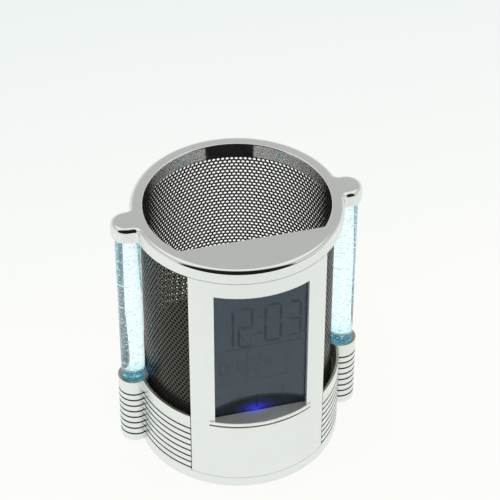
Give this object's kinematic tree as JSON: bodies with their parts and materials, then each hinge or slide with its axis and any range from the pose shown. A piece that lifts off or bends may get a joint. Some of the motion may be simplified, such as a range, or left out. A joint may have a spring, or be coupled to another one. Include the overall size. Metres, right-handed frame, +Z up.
{
  "type": "table clock with pen holder",
  "caption": "Round pen cup of perforated sheet on a ribbed base, with a digital clock in its curved front panel and a clear lit rod on each side.",
  "frame": {"origin": "on the table, under the axis of the cup", "axes": "+Z up, the clock's window faces -Y, the lit rods stand on the X axis"},
  "size_m": [0.1088, 0.0911, 0.126],
  "materials": {
    "chrome": "bright chrome plating on moulded plastic",
    "silver_paint": "satin silver paint on moulded plastic",
    "clear_window": "flat clear window, polished",
    "display": "dark slate liquid crystal panel",
    "light_guide": "milky light guide",
    "lamp": "clear resin lamp",
    "rubber_strip": "striped contact rubber",
    "black_plastic": "fine grained black moulding",
    "circuit_board": "green solder mask",
    "resin": "black potting resin",
    "zinc_steel": "zinc plated steel",
    "gunmetal_sheet": "dark painted perforated steel sheet",
    "cell_case": "plain sleeve on a metal can",
    "clear_rod": "clear acrylic full of small bubbles, lit from below",
    "white_plastic": "white moulding",
    "wire_sleeve": "soft insulation",
    "foot_rubber": "matt black rubber"
  },
  "bodies": {
    "case": {"backlight_led": "lamp", "base_cover": "black_plastic", "base_screws": "zinc_steel", "base_tray": "silver_paint", "battery_cell_1": "cell_case", "battery_cell_2": "cell_case", "battery_cell_3": "cell_case", "battery_wires": "wire_sleeve", "board_screws": "zinc_steel", "buzzer": "black_plastic", "clock_board": "circuit_board", "clock_chip": "resin", "clock_housing": "black_plastic", "collar_ring": "silver_paint", "contact_plates": "zinc_steel", "contact_springs": "zinc_steel", "contact_strip": "rubber_strip", "control_board": "circuit_board", "crystal": "zinc_steel", "cup_floor": "black_plastic", "display_cable": "white_plastic", "display_glass": "clear_window", "foot_front_left": "foot_rubber", "foot_front_right": "foot_rubber", "foot_rear_left": "foot_rubber", "foot_rear_right": "foot_rubber", "front_panel": "silver_paint", "housing_screws": "zinc_steel", "lcd_backlight": "light_guide", "lcd_holder": "black_plastic", "lcd_panel": "display", "led_board_left": "circuit_board", "led_board_right": "circuit_board", "light_rod_left": "clear_rod", "light_rod_right": "clear_rod", "light_wires": "wire_sleeve", "mesh_cup": "gunmetal_sheet", "rod_led_left": "lamp", "rod_led_right": "lamp", "rod_seat_left": "white_plastic", "rod_seat_right": "white_plastic", "slide_switch": "zinc_steel", "tact_switches": "black_plastic", "top_plate": "chrome"},
    "battery_door": {"battery_door": "black_plastic"},
    "light_switch_knob": {"light_switch_knob": "black_plastic"},
    "button_down": {"button_down": "black_plastic"},
    "button_mode": {"button_mode": "black_plastic"},
    "button_set": {"button_set": "black_plastic"},
    "button_up": {"button_up": "black_plastic"}
  },
  "joints": [
    {"name": "button_down_press", "type": "slide", "parent": "case", "child": "button_down", "axis": [0, -1, 0], "range_m": [0, 0.0006], "stiffness_N_per_m": 400},
    {"name": "button_mode_press", "type": "slide", "parent": "case", "child": "button_mode", "axis": [0, -1, 0], "range_m": [0, 0.0006], "stiffness_N_per_m": 400},
    {"name": "button_set_press", "type": "slide", "parent": "case", "child": "button_set", "axis": [0, -1, 0], "range_m": [0, 0.0006], "stiffness_N_per_m": 400},
    {"name": "button_up_press", "type": "slide", "parent": "case", "child": "button_up", "axis": [0, -1, 0], "range_m": [0, 0.0006], "stiffness_N_per_m": 400},
    {"name": "light_switch_slide", "type": "slide", "parent": "case", "child": "light_switch_knob", "axis": [1, 0, 0], "range_m": [0, 0.003]},
    {"name": "battery_door_slide", "type": "slide", "parent": "case", "child": "battery_door", "axis": [0, 1, 0], "range_m": [0, 0.005]}
  ]
}
